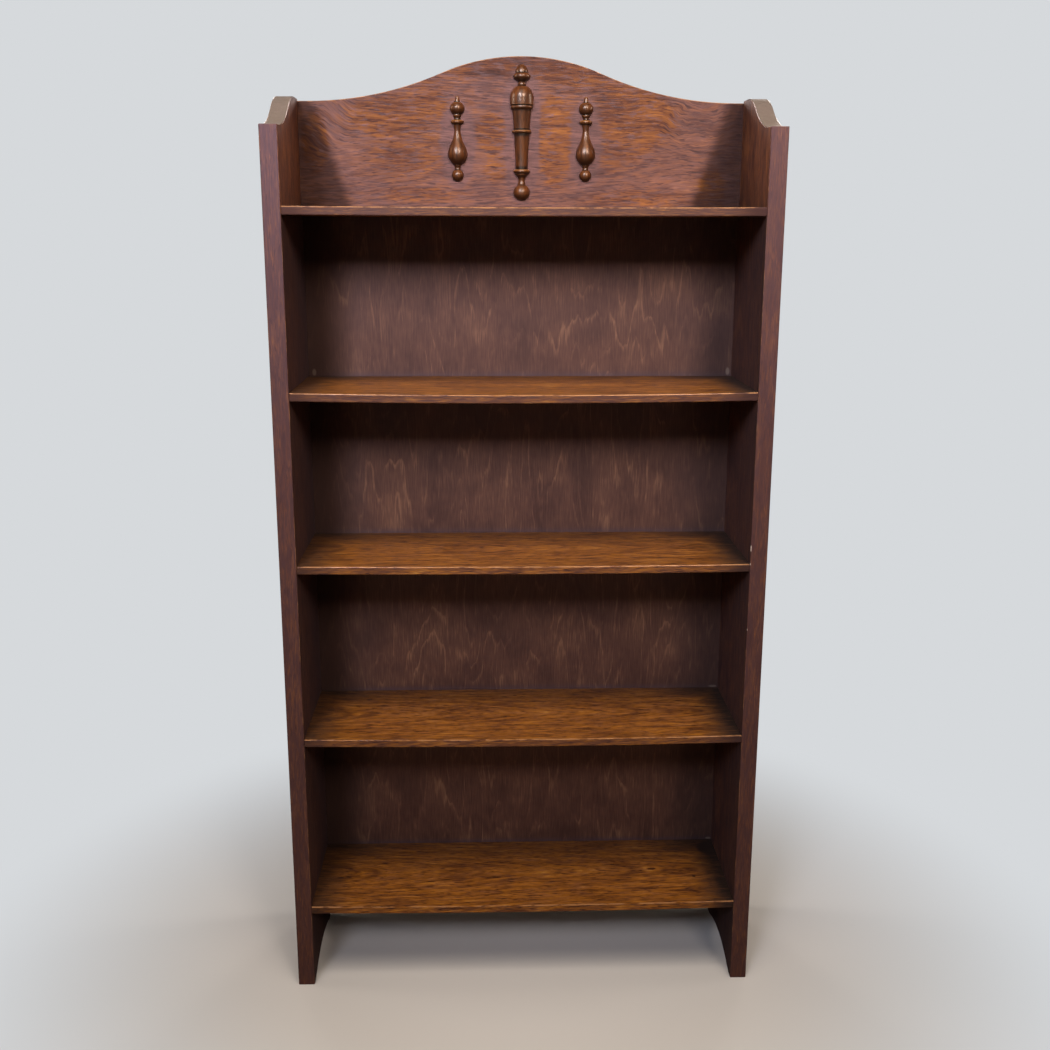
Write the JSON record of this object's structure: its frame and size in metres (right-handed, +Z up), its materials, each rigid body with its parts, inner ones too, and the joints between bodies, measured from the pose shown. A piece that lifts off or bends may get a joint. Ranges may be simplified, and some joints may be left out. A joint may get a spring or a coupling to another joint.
{
  "type": "bookcase",
  "caption": "Open-front bookcase in stained oak: housed fixed shelves, ogee-topped sides on arched feet, an arched gallery with split turnings, and a plywood back.",
  "frame": {"origin": "on the floor, midway between the sides and midway through the depth", "axes": "+Z up; the open front faces -Y; +X is to the right of someone who faces the front"},
  "size_m": [0.711, 0.203, 1.409],
  "materials": {
    "oak_side": "dark-stained, waxed oak",
    "oak_shelf": "dark-stained, waxed oak",
    "oak_gallery": "dark-stained, waxed oak",
    "oak_turning": "dark-stained, polished oak",
    "plywood_back": "dark-stained birch plywood",
    "steel_pin": "plain steel, dulled"
  },
  "bodies": {
    "root": {"side_left": "oak_side", "side_right": "oak_side", "shelf_top": "oak_shelf", "shelf_second": "oak_shelf", "shelf_third": "oak_shelf", "shelf_fourth": "oak_shelf", "shelf_bottom": "oak_shelf", "gallery_board": "oak_gallery", "turning_centre": "oak_turning", "turning_left": "oak_turning", "turning_right": "oak_turning", "back_panel": "plywood_back", "back_pin_01": "steel_pin", "back_pin_02": "steel_pin", "back_pin_03": "steel_pin", "back_pin_04": "steel_pin", "back_pin_05": "steel_pin", "back_pin_06": "steel_pin", "back_pin_07": "steel_pin", "back_pin_08": "steel_pin", "back_pin_09": "steel_pin", "back_pin_10": "steel_pin", "back_pin_11": "steel_pin", "back_pin_12": "steel_pin", "back_pin_13": "steel_pin", "back_pin_14": "steel_pin", "back_pin_15": "steel_pin", "back_pin_16": "steel_pin", "back_pin_17": "steel_pin", "back_pin_18": "steel_pin", "back_pin_19": "steel_pin", "back_pin_20": "steel_pin", "back_pin_21": "steel_pin", "back_pin_22": "steel_pin", "back_pin_23": "steel_pin", "back_pin_24": "steel_pin", "back_pin_25": "steel_pin", "back_pin_26": "steel_pin", "back_pin_27": "steel_pin", "back_pin_28": "steel_pin", "back_pin_29": "steel_pin", "back_pin_30": "steel_pin", "back_pin_31": "steel_pin", "gallery_pin_1": "steel_pin", "gallery_pin_2": "steel_pin", "gallery_pin_3": "steel_pin", "gallery_pin_4": "steel_pin"}
  },
  "joints": []
}
